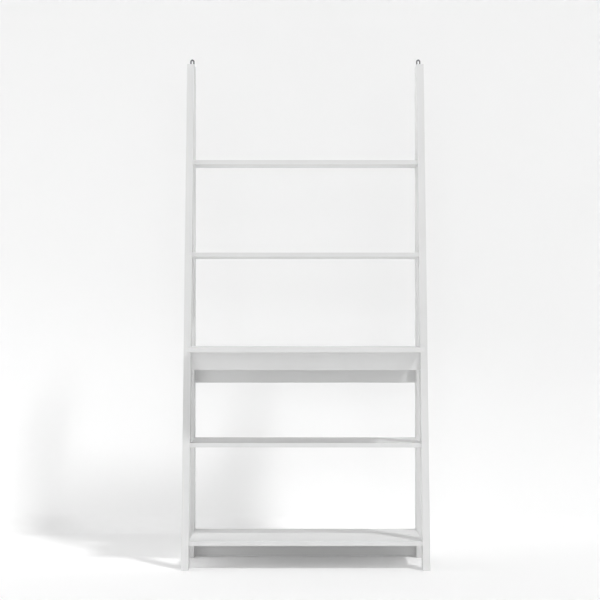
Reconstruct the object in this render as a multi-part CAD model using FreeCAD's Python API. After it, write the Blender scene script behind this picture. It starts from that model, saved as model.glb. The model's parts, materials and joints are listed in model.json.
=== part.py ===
"""Ladder desk: a desk board and four shelves between two side frames.

Each side frame is an upright post against the wall and a leg that leans back against it.
Millimetres, +Z up. The front faces -Y, the wall is at the back, and the origin is on the floor
at the centre of the footprint. Depths are measured forwards from the wall plane.
"""

import FreeCAD, Part

import math
import os

from FreeCAD import Vector

# Overall form
frame_height = 1750.0
inner_width = 788.0  # between the side frames
foot_depth = 407.0  # front line of the leaning legs at the floor
crown_depth = 101.0  # front line of the leaning legs at the top
desk_depth = 500.0  # front edge of the desk board

# Side frames
frame_thickness = 25.0
post_depth = 75.0
leg_width = 70.0  # square to the leg's own length

# Boards
board_thickness = 15.0
desk_height = 750.0
shelf_pitch = 327.0
shelf_setback = 7.0  # front edges of the shelves behind the front line of the legs
wall_setback = 10.0  # rear edges of the shelves and the desk board in front of the wall plane
edge_radius = 1.0

# Rails under the boards
rail_thickness = 15.0
apron_height = 65.0
apron_setback = 12.0  # behind the front line of the legs at the apron's top edge
back_rail_height = 116.0
back_rail_setback = 40.0  # behind the front faces of the posts
floor_gap = 2.0  # under the bottom rail

# Wall brackets: slotted steel angles on top of the posts
bracket_width = 15.5
bracket_thickness = 2.0
bracket_rise = 31.0  # above the top of the post
bracket_foot_length = 32.0  # forwards from the wall plane
bracket_bend_radius = 1.5  # inside the bend
bracket_slot_width = 5.5
bracket_slot_length = 18.0
bracket_slot_border = 5.5  # metal left above the slot

# Pan-headed screws that hold the brackets down
bracket_screw_depth = 21.0  # from the wall plane to the screw's axis
bracket_screw_diameter = 4.0
bracket_screw_length = 25.0
bracket_screw_tip_length = 4.0
bracket_screw_head_diameter = 8.0
bracket_screw_head_height = 2.4
bracket_screw_head_rounding = 1.2
bracket_screw_recess_length = 4.6
bracket_screw_recess_width = 0.9
bracket_screw_recess_depth = 1.6

# Connecting screws through the side frames into the ends of boards and rails
screw_diameter = 7.0
screw_length = 50.0
screw_tip_length = 3.0
screw_head_diameter = 10.0
screw_head_height = 3.5
screw_socket_width = 4.0  # across the flats of the hexagon
screw_socket_depth = 2.2
rail_screw_inset = 22.0  # above the bottom edge of a rail

# Cover caps over the heads of the connecting screws
cap_diameter = 12.0
cap_thickness = 2.0
cap_bevel = 0.4

# Dowels
dowel_diameter = 8.0
dowel_length = 30.0
dowel_bevel = 0.8
board_dowel_spacing = 20.0  # from the connecting screw beside it
rail_dowel_inset = 20.0  # below the top edge of a rail
top_dowel_reach = 9.0  # of the upright dowels into the board above a rail
top_dowel_spacing = 290.0
top_dowel_count = 3
frame_dowel_length = 40.0
frame_dowel_inset = 60.0  # of the highest one, below the top of the frame
frame_dowel_spacing = 80.0
frame_dowel_count = 3

# Fits
bore_clearance = 0.1  # all round a screw, cap or dowel
bore_end_clearance = 0.5  # past the end of a screw or dowel

# Values that follow from those above
half_inner = inner_width / 2
half_outer = half_inner + frame_thickness
wall_y = desk_depth / 2
lean = (foot_depth - crown_depth) / frame_height
leg_run = leg_width * math.hypot(1, lean)  # the leg's width, measured level
desk_underside = desk_height - board_thickness
shelf_tops = {
    "top_shelf": desk_height + 2 * shelf_pitch,
    "upper_shelf": desk_height + shelf_pitch,
    "desk_top": desk_height,
    "lower_shelf": desk_height - shelf_pitch,
    "bottom_shelf": desk_height - 2 * shelf_pitch,
}

SIDES = {"left": -1, "right": 1}
RIGHT = Vector(1, 0, 0)
FORWARD = Vector(0, -1, 0)
UP = Vector(0, 0, 1)


# Places


def point(x, depth, z):
    """The point at x, at a depth in front of the wall plane, at height z."""
    return Vector(x, wall_y - depth, z)


def leg_front(z):
    """Depth of the front line of the legs at height z."""
    return foot_depth - lean * z


def leg_middle(z):
    """Depth of the middle line of the legs at height z."""
    return leg_front(z) - leg_run / 2


def frame_middle(side):
    """X of the middle plane of a side frame."""
    return side * (half_inner + half_outer) / 2


def rail_places():
    """Front depth, bottom and top of each rail."""
    apron_front = leg_front(desk_underside) - apron_setback
    back_front = post_depth - back_rail_setback
    bottom_rail_top = shelf_tops["bottom_shelf"] - board_thickness
    return {
        "desk_apron": (apron_front, desk_underside - apron_height, desk_underside),
        "desk_back_rail": (back_front, desk_underside - back_rail_height, desk_underside),
        "bottom_back_rail": (back_front, floor_gap, bottom_rail_top),
    }


def end_screw_places():
    """Depth and height of each connecting screw in a side frame."""
    places = []
    for top in shelf_tops.values():
        z = top - board_thickness / 2
        places += [(leg_middle(z), z), (post_depth / 2, z)]
    for front, bottom, top in rail_places().values():
        places.append((front - rail_thickness / 2, bottom + rail_screw_inset))
    return places


def end_dowel_places():
    """Depth and height of each dowel between a side frame and the boards and rails."""
    places = []
    for shelf_top in shelf_tops.values():
        z = shelf_top - board_thickness / 2
        places += [(leg_middle(z) - board_dowel_spacing, z), (post_depth / 2 + board_dowel_spacing, z)]
    for front, bottom, top in rail_places().values():
        places.append((front - rail_thickness / 2, top - rail_dowel_inset))
    return places


def frame_dowel_heights():
    highest = frame_height - frame_dowel_inset
    return [highest - i * frame_dowel_spacing for i in range(frame_dowel_count)]


def top_dowel_starts():
    """Lower ends of the upright dowels between each rail and the board on it."""
    first_x = -(top_dowel_count - 1) * top_dowel_spacing / 2
    starts = []
    for front, bottom, top in rail_places().values():
        for i in range(top_dowel_count):
            x = first_x + i * top_dowel_spacing
            starts.append(point(x, front - rail_thickness / 2, top + top_dowel_reach - dowel_length))
    return starts


# Shapes


def block(x_span, depth_span, z_span):
    """A box from its low and high X, its rear and front depth, and its low and high Z."""
    width = x_span[1] - x_span[0]
    depth = depth_span[1] - depth_span[0]
    height = z_span[1] - z_span[0]
    return Part.makeBox(width, depth, height, point(x_span[0], depth_span[1], z_span[0]))


def rod(start, direction, diameter, length):
    return Part.makeCylinder(diameter / 2, length, start, direction)


def taper(start, direction, first_diameter, last_diameter, length):
    return Part.makeCone(first_diameter / 2, last_diameter / 2, length, start, direction)


def eased(solid, direction):
    """The solid with its straight edges along the direction rounded."""
    edges = []
    for edge in solid.Edges:
        run = edge.Vertexes[1].Point - edge.Vertexes[0].Point
        if run.normalize().cross(direction).Length < 1e-6:
            edges.append(edge)
    return solid.makeFillet(edge_radius, edges)


# Bores


def dowel_bore(start, direction, length):
    """The hole for a dowel, with clearance all round and past both ends."""
    bottom = start - direction * bore_end_clearance
    return rod(bottom, direction, dowel_diameter + 2 * bore_clearance, length + 2 * bore_end_clearance)


def screw_bores(side):
    """Stepped bores for the caps, heads and shanks of the connecting screws of one side."""
    head_bottom = cap_thickness + screw_head_height
    screw_end = cap_thickness + screw_length + bore_end_clearance
    steps = ((cap_diameter, cap_thickness), (screw_head_diameter, head_bottom), (screw_diameter, screw_end))
    bores = []
    for depth, z in end_screw_places():
        mouth = point(side * half_outer, depth, z)
        for diameter, bottom in steps:
            bores.append(rod(mouth, RIGHT * -side, diameter + 2 * bore_clearance, bottom))
    return bores


def end_dowel_starts(side):
    x = side * half_inner - dowel_length / 2
    return [point(x, depth, z) for depth, z in end_dowel_places()]


def frame_dowel_starts(side):
    depth = post_depth - frame_dowel_length / 2
    return [point(frame_middle(side), depth, z) for z in frame_dowel_heights()]


def end_bores(side):
    """All bores that pass between one side frame and the boards and rails."""
    return screw_bores(side) + [dowel_bore(start, RIGHT, dowel_length) for start in end_dowel_starts(side)]


def frame_bores(side):
    """All bores in the post and leg of one side frame."""
    joints = [dowel_bore(start, FORWARD, frame_dowel_length) for start in frame_dowel_starts(side)]
    return end_bores(side) + joints


def board_bores():
    """All bores in the boards and rails."""
    tops = [dowel_bore(start, UP, dowel_length) for start in top_dowel_starts()]
    return end_bores(-1) + end_bores(1) + tops


# Pieces


def rear_post(side):
    """Upright post against the wall, with a pilot hole in its top for the bracket's screw."""
    x_span = sorted((side * half_inner, side * half_outer))
    post = eased(block(x_span, (0, post_depth), (0, frame_height)), UP)
    mouth = point(frame_middle(side), bracket_screw_depth, frame_height)
    pilot_depth = bracket_screw_length - bracket_thickness + bore_end_clearance
    pilot = rod(mouth, -UP, bracket_screw_diameter + 2 * bore_clearance, pilot_depth)
    return post.cut(frame_bores(side) + [pilot])


def front_leg(side):
    """Leaning leg, cut level at the floor and upright where it lies against the post."""
    meeting_height = (foot_depth - leg_run - post_depth) / lean
    x = min(side * half_inner, side * half_outer)
    corners = [
        point(x, foot_depth, 0),
        point(x, crown_depth, frame_height),
        point(x, post_depth, frame_height),
        point(x, post_depth, meeting_height),
        point(x, foot_depth - leg_run, 0),
    ]
    profile = Part.Face(Part.makePolygon(corners + corners[:1]))
    leg = eased(profile.extrude(RIGHT * frame_thickness), Vector(0, lean, 1))
    return leg.cut(frame_bores(side))


def board(top, front):
    """A shelf or the desk board."""
    z_span = (top - board_thickness, top)
    slab = block((-half_inner, half_inner), (wall_setback, front), z_span)
    return eased(slab, RIGHT).cut(board_bores())


def rail(front, bottom, top):
    """A board on edge under a shelf or the desk board."""
    slab = block((-half_inner, half_inner), (front - rail_thickness, front), (bottom, top))
    return eased(slab, RIGHT).cut(board_bores())


def wall_bracket(side):
    """A bent strap with rounded ends: a slotted upright on the wall plane and a foot on the post."""
    middle = frame_middle(side)
    x_span = (middle - bracket_width / 2, middle + bracket_width / 2)
    turn = bracket_bend_radius + bracket_thickness
    crown = frame_height + bracket_rise - bracket_width / 2
    toe = bracket_foot_length - bracket_width / 2
    thickness = (0, bracket_thickness)
    foot_z = (frame_height, frame_height + bracket_thickness)
    bend_centre = point(x_span[0], turn, frame_height + turn)
    bend = rod(bend_centre, RIGHT, 2 * turn, bracket_width)
    bend = bend.cut(rod(bend_centre, RIGHT, 2 * bracket_bend_radius, bracket_width))
    bend = bend.common(block(x_span, (0, turn), (frame_height, frame_height + turn)))
    strap = bend.fuse([
        block(x_span, thickness, (frame_height + turn, crown)),
        rod(point(middle, 0, crown), FORWARD, bracket_width, bracket_thickness),
        block(x_span, (turn, toe), foot_z),
        rod(point(middle, toe, frame_height), UP, bracket_width, bracket_thickness),
    ])
    return strap.removeSplitter().cut([bracket_slot(middle), bracket_screw_hole(middle)])


def bracket_slot(middle):
    """The upright slot for the wall screw, with round ends."""
    half_width = bracket_slot_width / 2
    high = frame_height + bracket_rise - bracket_slot_border - half_width
    low = high - bracket_slot_length + bracket_slot_width
    slot = block((middle - half_width, middle + half_width), (0, bracket_thickness), (low, high))
    ends = [rod(point(middle, 0, z), FORWARD, bracket_slot_width, bracket_thickness) for z in (low, high)]
    return slot.fuse(ends)


def bracket_screw_hole(middle):
    bottom = point(middle, bracket_screw_depth, frame_height)
    return rod(bottom, UP, bracket_screw_diameter + 2 * bore_clearance, bracket_thickness)


def bracket_screw(side):
    """A pan-headed wood screw with a cross recess, pointing down."""
    middle = frame_middle(side)
    seat_height = frame_height + bracket_thickness
    crown_height = seat_height + bracket_screw_head_height
    seat = point(middle, bracket_screw_depth, seat_height)
    head = rod(seat, UP, bracket_screw_head_diameter, bracket_screw_head_height)
    rim = [edge for edge in head.Edges if abs(edge.BoundBox.ZMin - crown_height) < 1e-6]
    head = head.makeFillet(bracket_screw_head_rounding, rim)
    straight = bracket_screw_length - bracket_screw_tip_length
    shank = rod(seat, -UP, bracket_screw_diameter, straight)
    tip_diameter = bracket_screw_diameter / 4
    tip = taper(seat - UP * straight, -UP, bracket_screw_diameter, tip_diameter, bracket_screw_tip_length)
    arm = bracket_screw_recess_length / 2
    blade = bracket_screw_recess_width / 2
    z_span = (crown_height - bracket_screw_recess_depth, crown_height)
    recess = []
    for across, along in ((arm, blade), (blade, arm)):
        depth_span = (bracket_screw_depth - along, bracket_screw_depth + along)
        recess.append(block((middle - across, middle + across), depth_span, z_span))
    return head.fuse([shank, tip]).removeSplitter().cut(recess)


def connecting_screw(side, depth, z):
    """A flat-headed screw with a hexagon socket and a tapered tip."""
    inwards = RIGHT * -side
    head_face = point(side * (half_outer - cap_thickness), depth, z)
    straight = screw_length - screw_tip_length
    head = rod(head_face, inwards, screw_head_diameter, screw_head_height)
    shank = rod(head_face, inwards, screw_diameter, straight)
    tip = taper(head_face + inwards * straight, inwards, screw_diameter, screw_diameter / 2, screw_tip_length)
    socket = hexagon(head_face, screw_socket_width).extrude(inwards * screw_socket_depth)
    return head.fuse([shank, tip]).removeSplitter().cut(socket)


def hexagon(centre, width):
    """A hexagonal face across X, from its width across the flats."""
    corner = Vector(0, 0, width / math.sqrt(3))
    corners = []
    for i in range(7):
        corners.append(centre + FreeCAD.Rotation(RIGHT, 60 * i).multVec(corner))
    return Part.Face(Part.makePolygon(corners))


def screw_cap(side, depth, z):
    """A flat cover cap with a bevelled rim, flush with the side frame."""
    rim = point(side * (half_outer - cap_bevel), depth, z)
    disc = rod(rim, RIGHT * -side, cap_diameter, cap_thickness - cap_bevel)
    bevel = taper(rim, RIGHT * side, cap_diameter, cap_diameter - 2 * cap_bevel, cap_bevel)
    return disc.fuse(bevel).removeSplitter()


def dowel(start, direction, length):
    """A dowel with bevelled ends."""
    pin = rod(start, direction, dowel_diameter, length)
    rims = [edge for edge in pin.Edges if edge.isClosed()]
    return pin.makeChamfer(dowel_bevel, rims)


def fastener_nodes():
    """The nodes that each hold a group of like fasteners, and the solids of each."""
    groups = {
        "connecting_screws": [],
        "screw_caps": [],
        "end_dowels": [],
        "frame_dowels": [],
        "bracket_screws": [],
    }
    for side in SIDES.values():
        for depth, z in end_screw_places():
            groups["connecting_screws"].append(connecting_screw(side, depth, z))
            groups["screw_caps"].append(screw_cap(side, depth, z))
        for start in end_dowel_starts(side):
            groups["end_dowels"].append(dowel(start, RIGHT, dowel_length))
        for start in frame_dowel_starts(side):
            groups["frame_dowels"].append(dowel(start, FORWARD, frame_dowel_length))
        groups["bracket_screws"].append(bracket_screw(side))
    groups["rail_dowels"] = [dowel(start, UP, dowel_length) for start in top_dowel_starts()]
    return groups


def all_nodes():
    """Every node's name and its solids."""
    nodes = {}
    for name, side in SIDES.items():
        nodes[f"{name}_rear_post"] = [rear_post(side)]
        nodes[f"{name}_front_leg"] = [front_leg(side)]
        nodes[f"{name}_wall_bracket"] = [wall_bracket(side)]
    for name, top in shelf_tops.items():
        front = desk_depth if name == "desk_top" else leg_front(top) - shelf_setback
        nodes[name] = [board(top, front)]
    for name, (front, bottom, top) in rail_places().items():
        nodes[name] = [rail(front, bottom, top)]
    nodes.update(fastener_nodes())
    return nodes


os.makedirs("parts", exist_ok=True)
for name, solids in all_nodes().items():
    shape = Part.makeCompound(solids) if len(solids) > 1 else solids[0]
    shape.exportStep(f"parts/{name}.step")
    print(f"{name}: {len(shape.Solids)} solids, {shape.Volume / 1000:.1f} cm3, valid {shape.isValid()}")
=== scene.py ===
"""Ladder desk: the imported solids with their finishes, in a pale studio with a key light and soft fill.

Metres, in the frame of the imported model: +Z up, the front faces -Y, the wall side is +Y, and left and
right are as seen from the front.
"""

import json
import math

import bpy
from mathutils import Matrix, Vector

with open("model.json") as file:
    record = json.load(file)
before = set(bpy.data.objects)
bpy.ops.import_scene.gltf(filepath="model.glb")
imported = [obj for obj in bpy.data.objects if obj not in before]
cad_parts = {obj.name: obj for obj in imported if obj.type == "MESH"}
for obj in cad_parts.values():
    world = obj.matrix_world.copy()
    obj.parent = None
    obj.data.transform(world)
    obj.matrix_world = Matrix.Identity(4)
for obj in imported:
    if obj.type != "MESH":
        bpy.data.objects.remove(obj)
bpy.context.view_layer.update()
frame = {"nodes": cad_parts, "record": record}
nodes = frame["nodes"]

# Camera, at the distance and height that give the object its perspective
CAMERA_PLACE = Vector((-0.0191, -6.016, 0.8243))
CAMERA_PITCH = math.radians(0.83)
CAMERA_LENS = 104.6
SENSOR_WIDTH = 36.0

# Key light, from the upper right, and a broad soft one from behind the camera
KEY_TRAVEL = Vector((-0.5, 0.6, -1.0))
KEY_STRENGTH = 1.2
KEY_ANGLE = math.radians(6.6)
FILL_TRAVEL = Vector((0.0, 1.0, -0.03))
FILL_STRENGTH = 0.43
FILL_ANGLE = math.radians(25.0)

# Low light from the floor: its brightness, its width, its front edge and its height
LOW_LEVEL = 0.089
LOW_WIDTH = 7.0
LOW_FRONT = -5.0
LOW_HEIGHT = 0.001

# World light: an even part, and more from the left, which falls off by a power of the direction
WORLD_EVEN = 0.185
WORLD_LEFT = 1.7
WORLD_LEFT_POWER = 2.0

# What the camera and mirror-like surfaces see beyond the studio sheet
SKY_SEEN = 0.85

# Studio sheet: a floor that curves up into a wall
FLOOR_FRONT = -9.0
WALL_PLACE = 0.955
COVE_RADIUS = 0.08
COVE_STEPS = 24
WALL_HEIGHT = 6.0
STUDIO_HALF_WIDTH = 9.0
PAPER = 1.0

# Extra brightness of the sheet as the camera sees it, which lights nothing: an even part, and painted light
# that grows to the left and towards the floor
GLOW_MIDDLE = 0.095
PAINTED_LIGHT_TO_LEFT = 0.016  # more for each metre to the left
PAINTED_LIGHT_DOWNWARD = 0.1  # less for each metre up

# Finishes
WHITE = (0.8, 0.802, 0.8)
LACQUER_SPECULAR = 0.3
STEEL_CRYSTALS = 450.0  # zinc crystals per metre
CRYSTAL_SHARE = 0.45  # of the crystals in the steel's colour; the drawing lines have the rest
LINE_STRETCH = (1.0, 1.0, 0.06)
PORE_STRETCH = 0.05  # along a dowel's grain
STREAK_SHARE = 0.65  # of the streaks in the wood's colour; the flecks have the rest

# The range that most of a noise texture's values are in
NOISE_LOW = 0.25
NOISE_HIGH = 0.75


def new_material(name):
    """A material with a Principled shader, and its node tree and shader node."""
    material = bpy.data.materials.new(name)
    material.use_nodes = True
    return material, material.node_tree, material.node_tree.nodes["Principled BSDF"]


def calculate(tree, operation, *values):
    """A Math node's output, from sockets or numbers."""
    node = tree.nodes.new("ShaderNodeMath")
    node.operation = operation
    for socket, value in zip(node.inputs, values):
        if isinstance(value, (int, float)):
            socket.default_value = value
        else:
            tree.links.new(value, socket)
    return node.outputs[0]


def noise(tree, coordinates, scale, detail=2.0, roughness=0.5):
    """A noise texture's value, about 0.5 on average."""
    node = tree.nodes.new("ShaderNodeTexNoise")
    node.inputs["Scale"].default_value = scale
    node.inputs["Detail"].default_value = detail
    node.inputs["Roughness"].default_value = roughness
    tree.links.new(coordinates, node.inputs["Vector"])
    return node.outputs["Fac"]


def stretched(tree, coordinates, scale):
    """Coordinates scaled by a number for each axis."""
    node = tree.nodes.new("ShaderNodeMapping")
    node.inputs["Scale"].default_value = scale
    tree.links.new(coordinates, node.inputs["Vector"])
    return node.outputs["Vector"]


def object_coordinates(tree):
    """Coordinates in metres that stay with the object."""
    return tree.nodes.new("ShaderNodeTexCoord").outputs["Object"]


def ramp(tree, value, stops):
    """A colour ramp's output: stops are (position, colour)."""
    node = tree.nodes.new("ShaderNodeValToRGB")
    elements = node.color_ramp.elements
    while len(elements) < len(stops):
        elements.new(0.5)
    for element, (position, color) in zip(elements, stops):
        element.position = position
        element.color = (*color, 1)
    tree.links.new(value, node.inputs["Fac"])
    return node.outputs["Color"]


def spread(tree, value, low, high):
    """A noise value mapped to the range from low to high."""
    node = tree.nodes.new("ShaderNodeMapRange")
    node.inputs["From Min"].default_value = NOISE_LOW
    node.inputs["From Max"].default_value = NOISE_HIGH
    node.inputs["To Min"].default_value = low
    node.inputs["To Max"].default_value = high
    tree.links.new(value, node.inputs["Value"])
    return node.outputs["Result"]


def bump(tree, height, distance, strength, below=None):
    """A bump from a height texture, on top of another bump if there is one."""
    node = tree.nodes.new("ShaderNodeBump")
    node.inputs["Strength"].default_value = strength
    node.inputs["Distance"].default_value = distance
    tree.links.new(height, node.inputs["Height"])
    if below is not None:
        tree.links.new(below, node.inputs["Normal"])
    return node.outputs["Normal"]


def mixture(tree, first, second, first_share):
    """A mean of two values, weighted by the first one's share."""
    weighted = calculate(tree, "MULTIPLY", first, first_share)
    return calculate(tree, "ADD", weighted, calculate(tree, "MULTIPLY", second, 1.0 - first_share))


def tinted(color, factor):
    """A colour made lighter or darker by a factor."""
    return tuple(channel * factor for channel in color)


def white_lacquer():
    """Sprayed silk-matt lacquer: faint cloudiness, uneven gloss, orange peel and shallow waves."""
    material, tree, shader = new_material("white_lacquer")
    place = object_coordinates(tree)
    clouds = noise(tree, place, scale=5.0, detail=3.0)
    tint = ramp(tree, clouds, [(0.3, tinted(WHITE, 0.985)), (0.7, tinted(WHITE, 1.015))])
    tree.links.new(tint, shader.inputs["Base Color"])
    shader.inputs["Specular IOR Level"].default_value = LACQUER_SPECULAR
    gloss = noise(tree, place, scale=60.0, detail=4.0, roughness=0.6)
    tree.links.new(spread(tree, gloss, low=0.53, high=0.64), shader.inputs["Roughness"])
    peel = bump(tree, noise(tree, place, scale=650.0, detail=1.5), distance=0.00012, strength=0.5)
    hollows = noise(tree, place, scale=90.0, detail=1.0)
    waves = bump(tree, hollows, distance=0.0003, strength=0.3, below=peel)
    tree.links.new(waves, shader.inputs["Normal"])
    return material


def cap_plastic():
    """Moulded plastic: an even, fine spark-eroded grain."""
    material, tree, shader = new_material("cap_plastic")
    place = object_coordinates(tree)
    grain = noise(tree, place, scale=2600.0, roughness=0.6)
    clouds = noise(tree, place, scale=300.0)
    tint = ramp(tree, clouds, [(0.3, tinted(WHITE, 0.965)), (0.7, tinted(WHITE, 0.985))])
    tree.links.new(tint, shader.inputs["Base Color"])
    tree.links.new(spread(tree, grain, low=0.46, high=0.58), shader.inputs["Roughness"])
    tree.links.new(bump(tree, grain, distance=0.0001, strength=0.5), shader.inputs["Normal"])
    return material


def plated_steel(name, dark, light, low_roughness, high_roughness):
    """Zinc-plated steel: crystal patches, drawing lines and pits."""
    material, tree, shader = new_material(name)
    place = object_coordinates(tree)
    crystals = tree.nodes.new("ShaderNodeTexVoronoi")
    crystals.inputs["Scale"].default_value = STEEL_CRYSTALS
    tree.links.new(place, crystals.inputs["Vector"])
    patches = tree.nodes.new("ShaderNodeSeparateColor")
    tree.links.new(crystals.outputs["Color"], patches.inputs["Color"])
    lines = noise(tree, stretched(tree, place, LINE_STRETCH), scale=1800.0, detail=3.0)
    mixed = mixture(tree, patches.outputs["Red"], lines, CRYSTAL_SHARE)
    tree.links.new(ramp(tree, mixed, [(0.15, dark), (0.85, light)]), shader.inputs["Base Color"])
    tree.links.new(spread(tree, lines, low_roughness, high_roughness), shader.inputs["Roughness"])
    shader.inputs["Metallic"].default_value = 1.0
    pits = noise(tree, place, scale=1500.0, detail=3.0, roughness=0.6)
    scratches = bump(tree, lines, distance=0.00003, strength=0.4)
    pitted = bump(tree, pits, distance=0.00004, strength=0.5, below=scratches)
    tree.links.new(pitted, shader.inputs["Normal"])
    return material


def dowel_wood(name, grain_axis):
    """Beech: long fine streaks along the dowel, darker flecks and a rough cut."""
    material, tree, shader = new_material(name)
    place = object_coordinates(tree)
    scale = [1.0, 1.0, 1.0]
    scale[grain_axis] = PORE_STRETCH
    along = stretched(tree, place, scale)
    streaks = noise(tree, along, scale=700.0, detail=4.0, roughness=0.6)
    flecks = noise(tree, along, scale=2200.0)
    mixed = mixture(tree, streaks, flecks, STREAK_SHARE)
    colors = [(0.3, (0.58, 0.4, 0.24)), (0.52, (0.74, 0.57, 0.39)), (0.7, (0.82, 0.67, 0.49))]
    tree.links.new(ramp(tree, mixed, colors), shader.inputs["Base Color"])
    tree.links.new(spread(tree, flecks, low=0.55, high=0.75), shader.inputs["Roughness"])
    tree.links.new(bump(tree, mixed, distance=0.0002, strength=0.6), shader.inputs["Normal"])
    return material


FINISHES = {
    "white_lacquer": white_lacquer(),
    "bracket_steel": plated_steel("bracket_steel", dark=(0.08, 0.08, 0.084), light=(0.18, 0.18, 0.188),
                                  low_roughness=0.34, high_roughness=0.5),
    "screw_steel": plated_steel("screw_steel", dark=(0.52, 0.52, 0.51), light=(0.72, 0.72, 0.73),
                                low_roughness=0.22, high_roughness=0.36),
    "cap_plastic": cap_plastic(),
}
DOWEL_AXES = {"end_dowels": 0, "frame_dowels": 1, "rail_dowels": 2}  # the axis each one's grain runs along


def dress_nodes():
    """Gives every CAD node the finish of its material slot."""
    for subpart in frame["record"]["subparts"]:
        name = subpart["node"]
        if name in DOWEL_AXES:
            material = dowel_wood(f"{name}_wood", DOWEL_AXES[name])
        else:
            material = FINISHES[subpart["material_slot"]]
        nodes[name].data.materials.clear()
        nodes[name].data.materials.append(material)


def seen_directly(tree):
    """1 on rays from the camera, in reflections and through glass, and 0 on rays that light things."""
    path = tree.nodes.new("ShaderNodeLightPath")
    mirrored = calculate(tree, "MAXIMUM", path.outputs["Is Glossy Ray"], path.outputs["Is Transmission Ray"])
    return calculate(tree, "MAXIMUM", path.outputs["Is Camera Ray"], mirrored)


def studio_paper():
    """Matt white paper that also glows a little in view, with painted light brighter to the left and lower
    down, and that can't be seen from its back.
    """
    material, tree, shader = new_material("studio_paper")
    shader.inputs["Base Color"].default_value = (PAPER, PAPER, PAPER, 1)
    shader.inputs["Roughness"].default_value = 1.0
    shader.inputs["Specular IOR Level"].default_value = 0.0
    axes = tree.nodes.new("ShaderNodeSeparateXYZ")
    tree.links.new(object_coordinates(tree), axes.inputs["Vector"])
    # Painted light: the glow seen in view grows to the left and towards the floor
    level = calculate(tree, "MULTIPLY_ADD", axes.outputs["X"], -PAINTED_LIGHT_TO_LEFT, GLOW_MIDDLE)
    level = calculate(tree, "MULTIPLY_ADD", axes.outputs["Z"], -PAINTED_LIGHT_DOWNWARD, level)
    shown = calculate(tree, "MULTIPLY", seen_directly(tree), calculate(tree, "MAXIMUM", level, 0.0))
    shader.inputs["Emission Color"].default_value = (1, 1, 1, 1)
    tree.links.new(shown, shader.inputs["Emission Strength"])
    clear = tree.nodes.new("ShaderNodeBsdfTransparent")
    sided = tree.nodes.new("ShaderNodeMixShader")
    geometry = tree.nodes.new("ShaderNodeNewGeometry")
    tree.links.new(geometry.outputs["Backfacing"], sided.inputs["Fac"])
    tree.links.new(shader.outputs["BSDF"], sided.inputs[1])
    tree.links.new(clear.outputs["BSDF"], sided.inputs[2])
    tree.links.new(sided.outputs["Shader"], tree.nodes["Material Output"].inputs["Surface"])
    return material


def studio():
    """A floor that curves up into a wall, in one sheet whose front side faces up and forwards."""
    foot = WALL_PLACE - COVE_RADIUS
    profile = [(FLOOR_FRONT, 0.0), (foot, 0.0)]
    for i in range(1, COVE_STEPS + 1):
        angle = math.pi / 2 * i / COVE_STEPS
        profile.append((foot + COVE_RADIUS * math.sin(angle), COVE_RADIUS * (1 - math.cos(angle))))
    profile.append((WALL_PLACE, WALL_HEIGHT))
    vertices = []
    for y, z in profile:
        vertices += [(-STUDIO_HALF_WIDTH, y, z), (STUDIO_HALF_WIDTH, y, z)]
    faces = [(2 * i, 2 * i + 1, 2 * i + 3, 2 * i + 2) for i in range(len(profile) - 1)]
    mesh = bpy.data.meshes.new("studio")
    mesh.from_pydata(vertices, [], faces)
    for polygon in mesh.polygons:
        polygon.use_smooth = True
    mesh.materials.append(studio_paper())
    sheet = bpy.data.objects.new("studio", mesh)
    bpy.context.scene.collection.objects.link(sheet)


def sun_lamp(name, travel, strength, angle):
    """A distant lamp: its light's direction, its strength and how wide it looks from the object."""
    lamp = bpy.data.lights.new(name, "SUN")
    lamp.energy = strength
    lamp.angle = angle
    light = bpy.data.objects.new(name, lamp)
    light.rotation_euler = travel.to_track_quat("-Z", "Y").to_euler()
    bpy.context.scene.collection.objects.link(light)


def low_light():
    """A weak panel on the floor that faces up, unseen by the camera and in reflections."""
    back = WALL_PLACE - COVE_RADIUS
    lamp = bpy.data.lights.new("low", "AREA")
    lamp.shape = "RECTANGLE"
    lamp.size = LOW_WIDTH
    lamp.size_y = back - LOW_FRONT
    lamp.energy = math.pi * lamp.size * lamp.size_y * LOW_LEVEL
    light = bpy.data.objects.new("low", lamp)
    light.location = (0, (back + LOW_FRONT) / 2, LOW_HEIGHT)
    light.rotation_euler = (math.pi, 0, 0)
    light.visible_camera = False
    light.visible_glossy = False
    bpy.context.scene.collection.objects.link(light)


def world_light():
    """Soft light from all round, stronger from the left; in view the world is one pale grey."""
    world = bpy.data.worlds.new("studio_light")
    world.use_nodes = True
    tree = world.node_tree
    direction = tree.nodes.new("ShaderNodeSeparateXYZ")
    tree.links.new(tree.nodes.new("ShaderNodeTexCoord").outputs["Generated"], direction.inputs["Vector"])
    leftward = calculate(tree, "MAXIMUM", calculate(tree, "MULTIPLY", direction.outputs["X"], -1.0), 0.0)
    lobe = calculate(tree, "POWER", leftward, WORLD_LEFT_POWER)
    level = calculate(tree, "MULTIPLY_ADD", lobe, WORLD_LEFT, WORLD_EVEN)
    seen = seen_directly(tree)
    lighting = calculate(tree, "MULTIPLY", calculate(tree, "SUBTRACT", 1.0, seen), level)
    total = calculate(tree, "MULTIPLY_ADD", seen, SKY_SEEN, lighting)
    background = tree.nodes["Background"]
    background.inputs["Color"].default_value = (1, 1, 1, 1)
    tree.links.new(total, background.inputs["Strength"])
    bpy.context.scene.world = world


def camera():
    """The view from the front, level but for a slight tilt upwards."""
    data = bpy.data.cameras.new("camera")
    data.lens = CAMERA_LENS
    data.sensor_width = SENSOR_WIDTH
    view = bpy.data.objects.new("camera", data)
    view.location = CAMERA_PLACE
    view.rotation_euler = (math.pi / 2 + CAMERA_PITCH, 0, 0)
    bpy.context.scene.collection.objects.link(view)
    bpy.context.scene.camera = view


dress_nodes()
studio()
sun_lamp("key", KEY_TRAVEL, KEY_STRENGTH, KEY_ANGLE)
sun_lamp("fill", FILL_TRAVEL, FILL_STRENGTH, FILL_ANGLE)
low_light()
world_light()
camera()
bpy.context.scene.view_settings.view_transform = "Standard"
